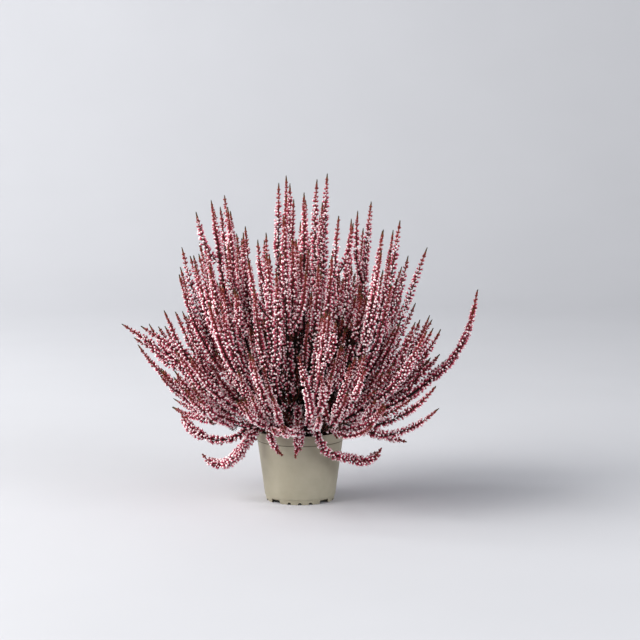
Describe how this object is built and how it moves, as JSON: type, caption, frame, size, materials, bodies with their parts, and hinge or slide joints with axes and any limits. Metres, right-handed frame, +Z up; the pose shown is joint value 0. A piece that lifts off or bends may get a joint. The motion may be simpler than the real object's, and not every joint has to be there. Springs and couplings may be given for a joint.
{
  "type": "potted heather",
  "caption": "Potted heather: a dome of slim flowering spikes, low sprays and trailing shoots in a tapered plastic grower's pot with a notched foot.",
  "frame": {"origin": "on the plane that the pot stands on, at the pot's axis", "axes": "+Z up along the pot's axis, -Y towards the front, +X to the right as seen from the front"},
  "size_m": [0.4861, 0.446, 0.4437],
  "materials": {
    "pot_plastic": "matt taupe plastic",
    "compost": "dark fibrous peat",
    "flowering_shoot": "matt pink and white buds on a brown-green stem",
    "leafy_shoot": "matt dark green scale leaves"
  },
  "bodies": {
    "root": {"compost": "compost", "leafy_shoot_1": "leafy_shoot", "leafy_shoot_2": "leafy_shoot", "leafy_shoot_3": "leafy_shoot", "leafy_shoot_4": "leafy_shoot", "leafy_shoot_5": "leafy_shoot", "pot": "pot_plastic", "spike_01": "flowering_shoot", "spike_02": "flowering_shoot", "spike_03": "flowering_shoot", "spike_04": "flowering_shoot", "spike_05": "flowering_shoot", "spike_06": "flowering_shoot", "spike_07": "flowering_shoot", "spike_08": "flowering_shoot", "spike_09": "flowering_shoot", "spike_10": "flowering_shoot", "spike_11": "flowering_shoot", "spike_12": "flowering_shoot", "spike_13": "flowering_shoot", "spike_14": "flowering_shoot", "spike_15": "flowering_shoot", "spike_16": "flowering_shoot", "spike_17": "flowering_shoot", "spike_18": "flowering_shoot", "spike_19": "flowering_shoot", "spike_20": "flowering_shoot", "spike_21": "flowering_shoot", "spike_22": "flowering_shoot", "spike_23": "flowering_shoot", "spike_24": "flowering_shoot", "spike_25": "flowering_shoot", "spike_26": "flowering_shoot", "spike_27": "flowering_shoot", "spike_28": "flowering_shoot", "spike_29": "flowering_shoot", "spike_30": "flowering_shoot", "spike_31": "flowering_shoot", "spike_32": "flowering_shoot", "spike_33": "flowering_shoot", "spike_34": "flowering_shoot", "spray_back": "flowering_shoot", "spray_front": "flowering_shoot", "spray_left": "flowering_shoot", "spray_left_back": "flowering_shoot", "spray_left_front": "flowering_shoot", "spray_right": "flowering_shoot", "spray_right_back": "flowering_shoot", "spray_right_front": "flowering_shoot", "trail_back": "flowering_shoot", "trail_front": "flowering_shoot", "trail_front_left": "flowering_shoot", "trail_front_right": "flowering_shoot", "trail_left": "flowering_shoot", "trail_left_low": "flowering_shoot", "trail_right": "flowering_shoot", "trail_rim": "flowering_shoot"}
  },
  "joints": []
}
